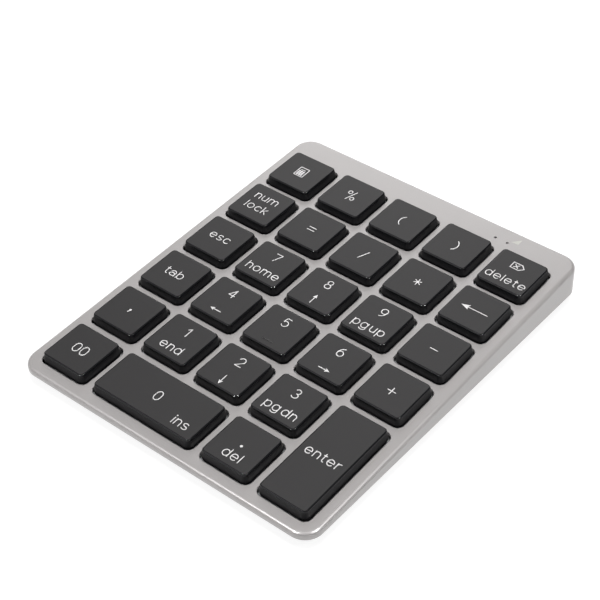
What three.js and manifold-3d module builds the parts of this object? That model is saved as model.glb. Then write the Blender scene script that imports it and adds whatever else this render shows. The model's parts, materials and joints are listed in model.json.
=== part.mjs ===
// A 28-key numeric keypad: a thin silver wedge with square black keys standing out of its sloping deck.
// Millimetres. +X is right, +Y is to the back, +Z is up. The origin is on the table, under the middle.
import * as THREE from 'three';
import { mergeVertices } from 'three/addons/utils/BufferGeometryUtils.js';
import Module from 'manifold-3d';

const wasm = await Module();
wasm.setup();

// ---------------------------------------------------------------- driving dimensions

// Key grid, on the deck
const pitch = 19.05;
const columns = 5;
const rows = 6;
const sideMargin = 12.15;
const frontMargin = 12.3;
const backMargin = 17.9;

// Housing
const deckTilt = THREE.MathUtils.degToRad(3.35);
const deckHeight = 8.7;
const cornerRadius = 5.4;
const edgeRadius = 1.2;
const edgeSteps = 3;
const wall = 1.4;
const bezel = 0.9;
const rimHeight = 2.85;
const undersideHeight = 1;
const trayFloor = 0.7;
const trayBevel = 0.4;
const trayLip = 1;
const trayLipTop = 3.6;

// Clearances
const gap = 0.3;
const sheetGap = 0.1;
const overshoot = 5;

// Keys
const travel = 1.5;
const keyTop = 2.55;
const keySkirt = 0.55;
const keySize = 15.9;
const keyCornerRadius = 1.9;
const keyDraft = 0.5;
const keyDraftHeight = 2.3;
const keyRoof = 0.9;
const keyWall = 1.3;
const windowSize = 16.9;
const windowCornerRadius = 2.2;

// Sheets under the keys, from the top down: rubber domes, printed membrane, steel plate
const domeSheetDepth = keySkirt + travel + 0.2;
const domeSheetThickness = 0.2;
const membraneThickness = 0.25;
const plateThickness = 0.4;
const membraneDepth = domeSheetDepth + domeSheetThickness + sheetGap;
const plateDepth = membraneDepth + membraneThickness + sheetGap;
const plateBottom = plateDepth + plateThickness;
const sheetBack = 54.5;
const sheetCornerRadius = 3.5;
const sheetStep = 0.4;
const domeBaseRadius = 3.1;
const domeTopRadius = 1.9;
const domeWall = 0.6;
const domeSides = 8;

// Stabiliser wires under the two double-length keys
const wireRadius = 0.4;
const wireArm = 5;
const wireReach = 12.5;
const wireHook = 1.1;
const wireBarOffset = 5.2;
const wireBendRadius = 1.2;
const wireSteps = 30;
const wirePivotDepth = domeSheetDepth - sheetGap - wireRadius;

// Screws, in grid columns and rows: each stands where four keys meet
const screwSpots = [[0.5, 0.5], [2.5, 0.5], [0.5, 2.5], [3.5, 2.5], [0.5, 4.5], [3.5, 4.5]];
const bossRadius = 1.8;
const bossDepth = plateBottom + 0.15;
const bossHoleRadius = bossRadius + 0.35;
const pilotRadius = 0.75;
const towerRadius = 2.2;
const towerSkin = 0.6;
const counterboreRadius = 1.55;
const screwHeadRadius = 1.3;
const screwHeadHeight = 0.7;
const screwShankRadius = 0.6;
const screwShankLength = 2.9;

// Feet
const footRadius = 4;
const footSpotX = 38;
const footSpotY = 51;
const footPocket = 0.5;
const footChamfer = 0.3;

// Circuit board and what stands on it
const boardBottom = 4;
const boardThickness = 0.8;
const boardTop = boardBottom + boardThickness;
const boardWidth = 76;
const boardCentreX = -2;
const boardFront = 38;
const boardBack = 59.3;
const boardPostX = 34;
const boardPostY = 42;
const boardPostRadius = 1.8;
const boardPinRadius = 0.8;
const partLift = boardTop + sheetGap;
const chipSize = [6, 6, 0.9];
const chipSpot = [12, 47];
const ledSpots = [24.5, 28.6];
const ledRow = 57;
const ledSize = [1.6, 0.8, 0.6];
const pinholeRadius = 0.35;
const lightPipeRadius = 0.9;
const lightPipeTipRadius = 0.2;
const lightPipeDepth = 6;
const tailX = -15;
const tailWidth = 11;
const tailThickness = 0.25;
const tailRun = 1.1;
const tailConnector = [14, 2.6, 1];

// Battery
const batterySize = [44, 28, 3];
const batteryCentreY = 15;
const batteryEdge = 0.7;
const leadRadius = 0.45;
const leadSpots = [-4, -1.5];
const leadRise = 0.8;

// Charging socket, on the back
const portHeight = boardTop + 1.75;
const portWidth = 8.94;
const portTall = 3.2;
const portCornerRadius = 1.55;
const portLength = 7.35;
const portShell = 0.3;
const portBack = 1;
const tongueWidth = 6.7;
const tongueTall = 0.7;
const tongueLength = 4.4;

// Power switch, on the back
const switchX = -32;
const switchTravel = 2;
const switchBody = [9, 4, 3.4];
const switchBodyBack = 60.2;
const sliderWidth = 1.8;
const sliderFootWidth = 2.4;
const sliderTall = 1.3;
const sliderFootLength = 1.2;
const sliderInset = 1.7;

// ---------------------------------------------------------------- derived dimensions

const width = (columns - 1) * pitch + 2 * sideMargin;
const depth = (rows - 1) * pitch + frontMargin + backMargin;
const slope = Math.sin(deckTilt);
const level = Math.cos(deckTilt);
const backWallHeight = (deckHeight + (depth / 2) * slope - rimHeight) / level;
const deckShift = -((backWallHeight + edgeRadius) * slope) / 2;
const backFaceY = (depth / 2) * level + (backWallHeight - portHeight + rimHeight) * slope + deckShift;
const trayWidth = width - 2 * (wall + gap);
const trayDepth = depth - 2 * (wall + gap);
const trayCornerRadius = cornerRadius - wall - gap;
const sheetWidth = trayWidth - 2 * (trayLip + gap);
const sheetFront = trayDepth / 2 - trayLip - gap;

const deck = new THREE.Group();
deck.rotation.x = deckTilt;
deck.position.set(0, deckShift, deckHeight);
deck.updateMatrix();
const tableToDeck = deck.matrix.clone().invert();

const columnX = (column) => (column - (columns - 1) / 2) * pitch;
const rowY = (row) => frontMargin - depth / 2 + row * pitch;
const deckToTable = (x, y, z) => new THREE.Vector3(x, y, z).applyMatrix4(deck.matrix);

// Every key: its name, its column and row, and how many grid cells it covers
const keys = [
  ['key_00', 0, 0, 1, 1], ['key_0', 1, 0, 2, 1], ['key_decimal', 3, 0, 1, 1], ['key_enter', 4, 0, 1, 2],
  ['key_comma', 0, 1, 1, 1], ['key_1', 1, 1, 1, 1], ['key_2', 2, 1, 1, 1], ['key_3', 3, 1, 1, 1],
  ['key_tab', 0, 2, 1, 1], ['key_4', 1, 2, 1, 1], ['key_5', 2, 2, 1, 1], ['key_6', 3, 2, 1, 1],
  ['key_plus', 4, 2, 1, 1], ['key_escape', 0, 3, 1, 1], ['key_7', 1, 3, 1, 1], ['key_8', 2, 3, 1, 1],
  ['key_9', 3, 3, 1, 1], ['key_minus', 4, 3, 1, 1], ['key_num_lock', 0, 4, 1, 1],
  ['key_equals', 1, 4, 1, 1], ['key_divide', 2, 4, 1, 1], ['key_multiply', 3, 4, 1, 1],
  ['key_backspace', 4, 4, 1, 1], ['key_calculator', 0, 5, 1, 1], ['key_percent', 1, 5, 1, 1],
  ['key_bracket_open', 2, 5, 1, 1], ['key_bracket_close', 3, 5, 1, 1], ['key_delete', 4, 5, 1, 1],
].map(([name, column, row, across, along]) => ({
  name,
  x: columnX(column + (across - 1) / 2),
  y: rowY(row + (along - 1) / 2),
  extraX: (across - 1) * pitch,
  extraY: (along - 1) * pitch,
}));

// ---------------------------------------------------------------- materials

const finish = (color, roughness, metalness) => (
  new THREE.MeshStandardMaterial({ color, roughness, metalness })
);
const silverShell = finish(0xc2bfbc, 0.4, 0.5);
const blackCap = finish(0x3a393b, 0.45, 0);
const blackTray = finish(0x2b2c2e, 0.7, 0);
const blackSheet = finish(0x191a1c, 0.6, 0.3);
const clearFilm = finish(0x4a5a55, 0.35, 0);
const rubber = finish(0x9a9c9e, 0.8, 0);
const footRubber = finish(0x1c1c1d, 0.9, 0);
const steel = finish(0xb5b7ba, 0.3, 1);
const boardGreen = finish(0x1f5a3a, 0.5, 0);
const blackPlastic = finish(0x151516, 0.5, 0);
const foil = finish(0xb9bcc0, 0.35, 0.8);
const redLead = finish(0xb3261e, 0.6, 0);
const blackLead = finish(0x1a1a1a, 0.6, 0);
const clearPlastic = finish(0xdfe6ea, 0.15, 0);

// ---------------------------------------------------------------- shapes and solids

// A rectangle with round corners, centred on the origin, drawn in by an inset on every side.
function roundedRect(across, along, radius, inset = 0) {
  const x = across / 2 - radius;
  const y = along / 2 - radius;
  const bend = radius - inset;
  const quarter = Math.PI / 2;
  const shape = new THREE.Shape();
  shape.absarc(x, y, bend, 0, quarter);
  shape.absarc(-x, y, bend, quarter, 2 * quarter);
  shape.absarc(-x, -y, bend, 2 * quarter, 3 * quarter);
  shape.absarc(x, -y, bend, 3 * quarter, 4 * quarter);
  return shape;
}

// A shape raised between two heights.
function slab(shape, bottom, top, curveSegments = 2) {
  const options = { depth: top - bottom, bevelEnabled: false, curveSegments };
  return new THREE.ExtrudeGeometry(shape, options).translate(0, 0, bottom);
}

// A shape raised between two heights, drawn in by a bevel at both ends.
function bevelledSlab(shape, bottom, top, bevelSize, bevelThickness, bevelSegments, curveSegments = 2) {
  const options = {
    depth: top - bottom - 2 * bevelThickness,
    bevelEnabled: true,
    bevelSize,
    bevelOffset: -bevelSize,
    bevelThickness,
    bevelSegments,
    curveSegments,
  };
  return new THREE.ExtrudeGeometry(shape, options).translate(0, 0, bottom + bevelThickness);
}

// A shape drawn in X and Z, carried along Y.
function alongY(shape, front, back, curveSegments = 2) {
  const options = { depth: back - front, bevelEnabled: false, curveSegments };
  return new THREE.ExtrudeGeometry(shape, options).rotateX(Math.PI / 2).translate(0, back, 0);
}

// An upright cylinder or cone.
function post(radius, bottom, top, sides = 12, topRadius = radius) {
  const geometry = new THREE.CylinderGeometry(topRadius, radius, top - bottom, sides);
  return geometry.rotateX(Math.PI / 2).translate(0, 0, (top + bottom) / 2);
}

// A box standing on a height, centred on the origin in X and Y.
function block([across, along, tall], bottom) {
  return new THREE.BoxGeometry(across, along, tall).translate(0, 0, bottom + tall / 2);
}

// A round piece turned about Z, from [radius, height] points that start and end on the axis.
function turned(profile, sides) {
  const points = profile.map(([radius, height]) => new THREE.Vector2(radius, height));
  return new THREE.LatheGeometry(points, sides).rotateX(Math.PI / 2);
}

// A round wire along a path.
function wire(path, radius, steps) {
  const section = new THREE.Shape().absarc(0, 0, radius, 0, 2 * Math.PI);
  const options = { extrudePath: path, steps, bevelEnabled: false, curveSegments: 3 };
  return new THREE.ExtrudeGeometry(section, options);
}

// Straight runs between points, with each bend rounded off.
function bentPath(points, radius) {
  const path = new THREE.CurvePath();
  let start = points[0];
  for (let i = 1; i < points.length - 1; i += 1) {
    const bend = points[i];
    const before = start.clone().sub(bend).setLength(radius).add(bend);
    const after = points[i + 1].clone().sub(bend).setLength(radius).add(bend);
    path.add(new THREE.LineCurve3(start, before));
    path.add(new THREE.QuadraticBezierCurve3(before, bend, after));
    start = after;
  }
  path.add(new THREE.LineCurve3(start, points[points.length - 1]));
  return path;
}

// A closed geometry as a solid for cutting and joining.
function solid(geometry) {
  const bare = geometry.clone();
  bare.deleteAttribute('normal');
  bare.deleteAttribute('uv');
  const welded = mergeVertices(bare);
  const vertProperties = new Float32Array(welded.attributes.position.array);
  const triVerts = new Uint32Array(welded.index.array);
  return new wasm.Manifold(new wasm.Mesh({ numProp: 3, vertProperties, triVerts }));
}

// A solid as a geometry.
function geometryOf(shape) {
  const mesh = shape.getMesh();
  const geometry = new THREE.BufferGeometry();
  geometry.setAttribute('position', new THREE.BufferAttribute(mesh.vertProperties, 3));
  geometry.setIndex(new THREE.BufferAttribute(mesh.triVerts, 1));
  return geometry;
}

const cutFrom = (body, geometries) => geometries.reduce((left, cutter) => left.subtract(solid(cutter)), body);
const joinTo = (body, geometries) => geometries.reduce((left, extra) => left.add(solid(extra)), body);

function place(parent, name, geometry, material, x = 0, y = 0, z = 0) {
  const mesh = new THREE.Mesh(geometry, material);
  mesh.name = name;
  mesh.position.set(x, y, z);
  parent.add(mesh);
}

// ---------------------------------------------------------------- screws and what holds them

// Where a screw stands on the table's plan, and its heights from the boss it bites into.
const screws = screwSpots.map(([column, row]) => {
  const end = deckToTable(columnX(column), rowY(row), -bossDepth);
  const seat = end.z - gap - towerSkin;
  return { x: end.x, y: end.y, bossEnd: end.z, seat, pilotTop: seat + screwShankLength + gap };
});

function makeScrew() {
  return turned([
    [0, -screwHeadHeight],
    [screwHeadRadius, -screwHeadHeight],
    [screwHeadRadius, 0],
    [screwShankRadius, 0],
    [screwShankRadius, screwShankLength - screwShankRadius],
    [0, screwShankLength],
  ], 12);
}

function makeBoss({ x, y, bossEnd }) {
  const top = deckToTable(x, y - deckShift, -bezel / 2).z;
  return post(bossRadius, bossEnd, top).translate(x, y, 0).applyMatrix4(tableToDeck);
}

function makePilotHole({ x, y, bossEnd, pilotTop }) {
  return post(pilotRadius, bossEnd - gap, pilotTop).translate(x, y, 0).applyMatrix4(tableToDeck);
}

// ---------------------------------------------------------------- pieces on the deck

const portOutline = (inset) => roundedRect(portWidth, portTall, portCornerRadius, inset);
const switchSlot = roundedRect(sliderWidth + switchTravel + 2 * gap, sliderTall + 2 * gap, gap);

function backWallOpening(shape, x) {
  const opening = alongY(shape, backFaceY - overshoot, backFaceY + overshoot);
  return opening.translate(x, 0, portHeight).applyMatrix4(tableToDeck);
}

function makeTopCover() {
  const outline = roundedRect(width, depth, cornerRadius);
  const hollow = roundedRect(width, depth, cornerRadius, wall);
  const lowest = -backWallHeight - overshoot;
  const cutHeight = deckHeight + 2 * overshoot;
  const belowRim = block([2 * width, 2 * depth, cutHeight], rimHeight - cutHeight);
  const windows = keys.map(({ x, y, extraX, extraY }) => {
    const shape = roundedRect(windowSize + extraX, windowSize + extraY, windowCornerRadius);
    return slab(shape, -bezel - 1, 1, 1).translate(x, y, 0);
  });
  const pinholes = ledSpots.map((x) => post(pinholeRadius, -bezel - 1, 1, 10).translate(x, ledRow, 0));
  const shell = cutFrom(solid(bevelledSlab(outline, lowest, 0, edgeRadius, edgeRadius, edgeSteps)), [
    slab(hollow, lowest - 1, -bezel),
    ...windows,
    ...pinholes,
    backWallOpening(portOutline(-gap), 0),
    backWallOpening(switchSlot, switchX),
    belowRim.applyMatrix4(tableToDeck),
  ]);
  return geometryOf(cutFrom(joinTo(shell, screws.map(makeBoss)), screws.map(makePilotHole)));
}

// A flat sheet under the deck with a hole round each screw boss.
// The inset makes each sheet a little smaller than the one below it.
function makeSheet(top, thickness, inset) {
  const front = sheetFront - inset;
  const back = sheetBack - inset;
  const shape = roundedRect(sheetWidth - 2 * inset, front + back, sheetCornerRadius);
  const holes = screws.map(({ x, y }) => {
    const hole = post(bossHoleRadius, -top - thickness - 1, -top + 1);
    return hole.translate(x, (y - deckShift) / level, 0);
  });
  return cutFrom(solid(slab(shape, -top - thickness, -top).translate(0, (back - front) / 2, 0)), holes);
}

// Hollow rubber domes, one under the middle of each key, standing on one thin sheet.
function makeDomeSheet() {
  const bottom = -domeSheetDepth - domeSheetThickness;
  const top = keyTop - keyRoof - gap;
  const [innerBase, innerTop] = [domeBaseRadius - domeWall, domeTopRadius - domeWall];
  const outside = post(domeBaseRadius, bottom, top, domeSides, domeTopRadius);
  const inside = post(innerBase, bottom - gap, top - domeWall, domeSides, innerTop);
  const at = (shape) => keys.map(({ x, y }) => shape.clone().translate(x, y, 0));
  const sheet = makeSheet(domeSheetDepth, domeSheetThickness, 2 * sheetStep);
  return geometryOf(cutFrom(joinTo(sheet, at(outside)), at(inside)));
}

// A keycap: flat top, drafted sides, straight skirt, hollow below.
function makeKeycap({ extraX, extraY }) {
  const [across, along] = [keySize + extraX, keySize + extraY];
  const outline = roundedRect(across, along, keyCornerRadius);
  const hollow = roundedRect(across, along, keyCornerRadius, keyWall);
  const lowest = -keySkirt - keyDraftHeight - 1;
  const blank = bevelledSlab(outline, lowest, keyTop, keyDraft, keyDraftHeight, 1);
  const belowSkirt = block([2 * across, 2 * along, 2 * overshoot], -keySkirt - 2 * overshoot);
  return geometryOf(cutFrom(solid(blank), [belowSkirt, slab(hollow, -overshoot, keyTop - keyRoof, 1)]));
}

// A U-shaped wire: a bar held by the key, and two arms whose hooked ends turn in the plate.
// Drawn for a key that is long in X, about the key's centre.
function makeStabiliser() {
  const rise = travel;
  const pivotY = -wireBarOffset + Math.sqrt(wireArm ** 2 - rise ** 2);
  const pivotZ = -wirePivotDepth;
  const barZ = pivotZ + rise;
  const point = (x, y, z) => new THREE.Vector3(x, y, z);
  return wire(bentPath([
    point(-wireReach - wireHook, pivotY, pivotZ),
    point(-wireReach, pivotY, pivotZ),
    point(-wireReach, -wireBarOffset, barZ),
    point(wireReach, -wireBarOffset, barZ),
    point(wireReach, pivotY, pivotZ),
    point(wireReach + wireHook, pivotY, pivotZ),
  ], wireBendRadius), wireRadius, wireSteps);
}

// Carries light from a board-mounted lamp to its pinhole.
function makeLightPipe() {
  return turned([
    [0, -lightPipeDepth],
    [lightPipeRadius, -lightPipeDepth],
    [lightPipeRadius, -bezel - gap],
    [lightPipeTipRadius, -bezel - gap],
    [lightPipeTipRadius, -gap],
    [0, -gap],
  ], 10);
}

// The membrane's ribbon: over the back edge of the sheets, then down to the board.
function makeTail() {
  const bend = new THREE.Shape();
  const top = -membraneDepth;
  const outer = tailRun;
  const low = -lightPipeDepth + tailThickness;
  bend.moveTo(0, top);
  bend.lineTo(outer, top);
  bend.lineTo(outer, low);
  bend.lineTo(outer - tailThickness, low);
  bend.lineTo(outer - tailThickness, top - tailThickness);
  bend.lineTo(0, top - tailThickness);
  const options = { depth: tailWidth, bevelEnabled: false };
  const ribbon = new THREE.ExtrudeGeometry(bend, options).translate(0, 0, -tailWidth / 2);
  return ribbon.rotateX(Math.PI / 2).rotateZ(Math.PI / 2);
}

// ---------------------------------------------------------------- pieces on the table's level

function makeBottomCover() {
  const outline = roundedRect(trayWidth, trayDepth, trayCornerRadius);
  const hollow = roundedRect(trayWidth, trayDepth, trayCornerRadius, trayLip);
  const floorTop = undersideHeight + trayFloor;
  const blank = bevelledSlab(outline, undersideHeight, trayLipTop + 1, trayBevel, trayBevel, 1);
  const aboveLip = block([2 * width, 2 * depth, overshoot], trayLipTop);
  const tray = cutFrom(solid(blank), [aboveLip, slab(hollow, floorTop, trayLipTop + 1)]);
  const towers = screws.map(({ x, y, seat }) => {
    const bottom = undersideHeight + trayFloor / 2;
    return post(towerRadius, bottom, seat + towerSkin).translate(x, y, 0);
  });
  const boardPosts = [-1, 1].flatMap((side) => {
    const x = boardCentreX + side * boardPostX;
    const bottom = undersideHeight + trayFloor / 2;
    return [
      post(boardPostRadius, bottom, boardBottom - sheetGap).translate(x, boardPostY, 0),
      post(boardPinRadius, bottom, boardTop + gap).translate(x, boardPostY, 0),
    ];
  });
  const screwHoles = screws.flatMap(({ x, y, seat }) => [
    post(counterboreRadius, 0, seat).translate(x, y, 0),
    post(pilotRadius, 0, seat + overshoot).translate(x, y, 0),
  ]);
  const pockets = feet.map(({ x, y }) => {
    return post(footRadius + gap, 0, undersideHeight + footPocket, 16).translate(x, y, 0);
  });
  return geometryOf(cutFrom(joinTo(tray, [...towers, ...boardPosts]), [...screwHoles, ...pockets]));
}

const feet = ['front_left', 'front_right', 'back_left', 'back_right'].map((corner) => ({
  name: `foot_${corner}`,
  x: corner.endsWith('left') ? -footSpotX : footSpotX,
  y: corner.startsWith('front') ? -footSpotY : footSpotY,
}));

function makeFoot() {
  const top = undersideHeight + footPocket - sheetGap;
  return turned([
    [0, 0],
    [footRadius - footChamfer, 0],
    [footRadius, footChamfer],
    [footRadius, top],
    [0, top],
  ], 16);
}

function makeBoard() {
  const centreY = (boardFront + boardBack) / 2;
  const shape = roundedRect(boardWidth, boardBack - boardFront, 1);
  const blank = slab(shape, boardBottom, boardTop).translate(boardCentreX, centreY, 0);
  const pinHoles = [-1, 1].map((side) => {
    const hole = post(boardPinRadius + gap, boardBottom - 1, boardTop + 1);
    return hole.translate(boardCentreX + side * boardPostX, boardPostY, 0);
  });
  return geometryOf(cutFrom(solid(blank), pinHoles));
}

function makeBattery() {
  const [across, along, tall] = batterySize;
  const bottom = undersideHeight + trayFloor + sheetGap;
  return bevelledSlab(roundedRect(across, along, 2), bottom, bottom + tall, batteryEdge, batteryEdge, 1);
}

// A lead from the battery's back edge, up over the board's front edge and down to its pad.
function makeLead(x) {
  const start = batteryCentreY + batterySize[1] / 2 + gap;
  const low = undersideHeight + trayFloor + batterySize[2] / 2;
  const high = boardTop + leadRadius + gap;
  const path = new THREE.CatmullRomCurve3([
    new THREE.Vector3(x, start, low),
    new THREE.Vector3(x - leadRise, start + 3, low),
    new THREE.Vector3(x + leadRise, boardFront - 2, high + leadRise),
    new THREE.Vector3(x, boardFront + 1, high + leadRise / 2),
    new THREE.Vector3(x, boardFront + 4, high),
  ]);
  return wire(path, leadRadius, 12);
}

function makePortShell() {
  const mouth = backFaceY - gap;
  const shell = solid(alongY(portOutline(0), mouth - portLength, mouth));
  const hollow = alongY(portOutline(portShell), mouth - portLength + portShell, mouth + 1);
  return geometryOf(cutFrom(shell, [hollow]));
}

// The insulator at the back of the socket and the contact tongue that stands out of it.
function makePortTongue() {
  const back = backFaceY - gap - portLength + portShell + sheetGap;
  const base = alongY(portOutline(portShell + sheetGap), back, back + portBack);
  const tongueShape = roundedRect(tongueWidth, tongueTall, tongueTall / 3);
  const tongue = alongY(tongueShape, back + portBack / 2, back + portBack + tongueLength);
  return geometryOf(joinTo(solid(base), [tongue]));
}

function makeSwitchBody() {
  const [across, along] = switchBody;
  const slotWidth = sliderFootWidth + switchTravel + 2 * gap;
  const slot = block([slotWidth, 2 * (sliderFootLength + 2 * gap), sliderTall + 2 * gap], 0);
  const slotBottom = portHeight - sliderTall / 2 - gap;
  const body = block(switchBody, partLift).translate(0, switchBodyBack - along / 2, 0);
  const rim = [-1, 1].map((side) => {
    const x = side * (across / 2 + gap);
    return block([2 * gap, 2 * gap, overshoot], partLift).translate(x, switchBodyBack, 0);
  });
  return geometryOf(cutFrom(solid(body), [slot.translate(0, switchBodyBack, slotBottom), ...rim]));
}

// The slider: a wide foot inside the switch and a narrow knob that reaches out through the back wall.
function makeSwitchSlider() {
  const footFront = switchBodyBack - sliderInset;
  const footBack = footFront + sliderFootLength;
  const knobBack = backFaceY - gap;
  const half = sliderWidth / 2;
  const footHalf = sliderFootWidth / 2;
  const shape = new THREE.Shape();
  shape.moveTo(-footHalf, footFront);
  shape.lineTo(footHalf, footFront);
  shape.lineTo(footHalf, footBack);
  shape.lineTo(half, footBack);
  shape.lineTo(half, knobBack);
  shape.lineTo(-half, knobBack);
  shape.lineTo(-half, footBack);
  shape.lineTo(-footHalf, footBack);
  return slab(shape, portHeight - sliderTall / 2, portHeight + sliderTall / 2);
}

// ---------------------------------------------------------------- assembly

const keypad = new THREE.Group();
keypad.add(deck);

place(deck, 'top_cover', makeTopCover(), silverShell);
const plate = makeSheet(plateDepth, plateThickness, 0);
const membrane = makeSheet(membraneDepth, membraneThickness, sheetStep);
place(deck, 'support_plate', geometryOf(plate), blackSheet);
place(deck, 'membrane_circuit', geometryOf(membrane), clearFilm);
place(deck, 'dome_sheet', makeDomeSheet(), rubber);
for (const key of keys) {
  place(deck, key.name, makeKeycap(key), blackCap, key.x, key.y);
}

const wideKey = keys.find(({ name }) => name === 'key_0');
const tallKey = keys.find(({ name }) => name === 'key_enter');
place(deck, 'stabiliser_wire_0', makeStabiliser(), steel, wideKey.x, wideKey.y);
place(deck, 'stabiliser_wire_enter', makeStabiliser().rotateZ(-Math.PI / 2), steel, tallKey.x, tallKey.y);

place(deck, 'membrane_tail', makeTail(), clearFilm, tailX, sheetBack);
ledSpots.forEach((x, i) => place(deck, `light_pipe_${i + 1}`, makeLightPipe(), clearPlastic, x, ledRow));

place(keypad, 'bottom_cover', makeBottomCover(), blackTray);
for (const { name, x, y } of feet) {
  place(keypad, name, makeFoot(), footRubber, x, y);
}
screws.forEach(({ x, y, seat }, i) => place(keypad, `screw_${i + 1}`, makeScrew(), steel, x, y, seat));

place(keypad, 'circuit_board', makeBoard(), boardGreen);
place(keypad, 'controller_chip', block(chipSize, partLift), blackPlastic, ...chipSpot);
place(keypad, 'tail_connector', block(tailConnector, partLift), blackPlastic, tailX, sheetBack + tailRun);
const lamp = block(ledSize, partLift);
ledSpots.forEach((x, i) => place(keypad, `status_led_${i + 1}`, lamp, clearPlastic, x, ledRow));

place(keypad, 'battery', makeBattery(), foil, 0, batteryCentreY);
place(keypad, 'battery_lead_red', makeLead(leadSpots[0]), redLead);
place(keypad, 'battery_lead_black', makeLead(leadSpots[1]), blackLead);

place(keypad, 'usb_socket_shell', makePortShell(), steel, 0, 0, portHeight);
place(keypad, 'usb_socket_tongue', makePortTongue(), blackPlastic, 0, 0, portHeight);
place(keypad, 'switch_body', makeSwitchBody(), blackPlastic, switchX);
place(keypad, 'switch_slider', makeSwitchSlider(), blackPlastic, switchX - switchTravel / 2);

export default keypad;
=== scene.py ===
"""The looks of a 28-key numeric keypad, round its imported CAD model: shapes, finishes, lights and camera.

Shapes are drawn in millimetres, on the sloping deck or on the table's level, and placed in metres.
"""

import json
import math

import bmesh
import bpy
from mathutils import Matrix, Vector
from mathutils.geometry import delaunay_2d_cdt


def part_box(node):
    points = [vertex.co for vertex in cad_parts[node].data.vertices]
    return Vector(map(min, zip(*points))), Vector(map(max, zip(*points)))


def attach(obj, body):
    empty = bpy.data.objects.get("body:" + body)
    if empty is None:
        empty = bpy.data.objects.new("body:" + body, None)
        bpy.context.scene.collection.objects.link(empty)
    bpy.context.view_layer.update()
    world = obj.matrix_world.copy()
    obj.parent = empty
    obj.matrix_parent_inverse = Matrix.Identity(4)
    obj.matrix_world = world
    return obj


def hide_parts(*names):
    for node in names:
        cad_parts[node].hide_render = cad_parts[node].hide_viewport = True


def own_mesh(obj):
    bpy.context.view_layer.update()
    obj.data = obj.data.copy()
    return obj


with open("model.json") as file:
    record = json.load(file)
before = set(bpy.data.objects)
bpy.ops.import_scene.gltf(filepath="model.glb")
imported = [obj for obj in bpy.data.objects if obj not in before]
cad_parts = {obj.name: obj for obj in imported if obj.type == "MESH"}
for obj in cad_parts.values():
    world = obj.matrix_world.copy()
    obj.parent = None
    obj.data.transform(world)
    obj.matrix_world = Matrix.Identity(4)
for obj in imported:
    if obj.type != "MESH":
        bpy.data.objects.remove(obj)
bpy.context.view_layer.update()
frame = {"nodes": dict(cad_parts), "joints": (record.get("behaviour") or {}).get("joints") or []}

# ---------- the deck's own frame

MM = 0.001
TABLE = Matrix.Scale(MM, 4)
press_axis = Vector(frame["joints"][0]["axis"])
deck_turn = Matrix.Rotation(math.asin(press_axis.y), 4, "X")


def box_in(place, node):
    """(lowest corner, highest corner) of a CAD node along the axes of a place, in millimetres."""
    to_place = place.inverted()
    points = [to_place @ vertex.co for vertex in frame["nodes"][node].data.vertices]
    low = Vector([min(point[axis] for point in points) for axis in range(3)])
    high = Vector([max(point[axis] for point in points) for axis in range(3)])
    return low, high


def middle_in(place, node):
    """The middle of a CAD node, as a point on the plane of a place."""
    low, high = box_in(place, node)
    return ((low + high) / 2).xy


def deck_matrix():
    """From the deck, with its origin at the middle of its top face, to the table."""
    turned = deck_turn @ TABLE
    top = box_in(turned, "top_cover")[1].z
    return turned @ Matrix.Translation((*middle_in(turned, "top_cover"), top))


DECK = deck_matrix()
TABLE_TO_DECK = DECK.inverted() @ TABLE
TABLE_UP = TABLE_TO_DECK.to_3x3() @ Vector((0, 0, 1))
KEYS = [name for name in frame["nodes"] if name.startswith("key_")]
SCREWS = sorted(name for name in frame["nodes"] if name.startswith("screw_"))
FEET = sorted(name for name in frame["nodes"] if name.startswith("foot_"))
LIGHT_PIPES = ("light_pipe_1", "light_pipe_2")

# ---------- dimensions, in millimetres

# The top cover.
CORNER_RADIUS = 5.4
EDGE_RADIUS = 1.2
WALL = 1.4
BEZEL = 0.9
WINDOW_GAP = 0.5
WINDOW_RADIUS = 2.2
WINDOW_EDGE = 0.15
PINHOLE_RADIUS = 0.42
PINHOLE_EDGE = 0.06
RIM_EDGE = 0.2

# The screw bosses under it, and the small edges and roots of every hole and post.
BOSS_RADIUS = 1.8
BOSS_END = -3.45
PILOT_RADIUS = 0.75
SCREW_TIP_GAP = 0.3
HOLE_EDGE = 0.2
ROOT = 0.3

# The charging socket: (width, height) of its shell, and (width, thickness, reach) of its tongue.
PORT = (8.94, 3.2)
PORT_RADIUS = 1.55
PORT_SHELL = 0.3
PORT_GAP = 0.3
PORT_EDGE = 0.1
PORT_BASE = 1.0
TONGUE = (6.7, 0.7, 4.4)
CONTACTS = 12
CONTACT_PITCH = 0.5
CONTACT_REACH = 3.4
CONTACT_RISE = 0.04

# The cutters of the openings in the back wall, from the wall's outer face.
CUTTER_OUT = 1.0
CUTTER_FLARE = 0.05
CUTTER_IN = 0.6

# The power switch.
SWITCH_X = -32
SWITCH_SLOT = (4.4, 1.9)
SLOT_RADIUS = 0.3
SLIDER_FOOT = 1.2
SLIDER_EDGE = 0.12
KNOB = 1.8
RIBS = 4
RIB_DEPTH = 0.15

# The tray, with its screw towers, foot pockets, board posts and label recess.
TRAY_RADIUS = 3.7
TRAY_BEVEL = 0.4
TRAY_FLOOR = 0.7
LIP = 1.0
LIP_TOP = 3.6
LIP_EDGE = 0.15
COUNTERBORE_RADIUS = 1.55
TOWER_RADIUS = 2.2
TOWER_SKIN = 0.6
POCKET_GAP = 0.3
PAD_GAP = 0.1
BOARD_CENTRE = -2
BOARD_POST_X = 34
BOARD_POST_Y = 42
BOARD_POST_RADIUS = 1.8
BOARD_PIN_RADIUS = 0.8
BOARD_BOTTOM = 4.0
BOARD_PIN_TOP = 5.1
PANEL = (40, 18)
PANEL_SPOT = (0, -28)
PANEL_RADIUS = 2
PANEL_DEPTH = 0.15

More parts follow.
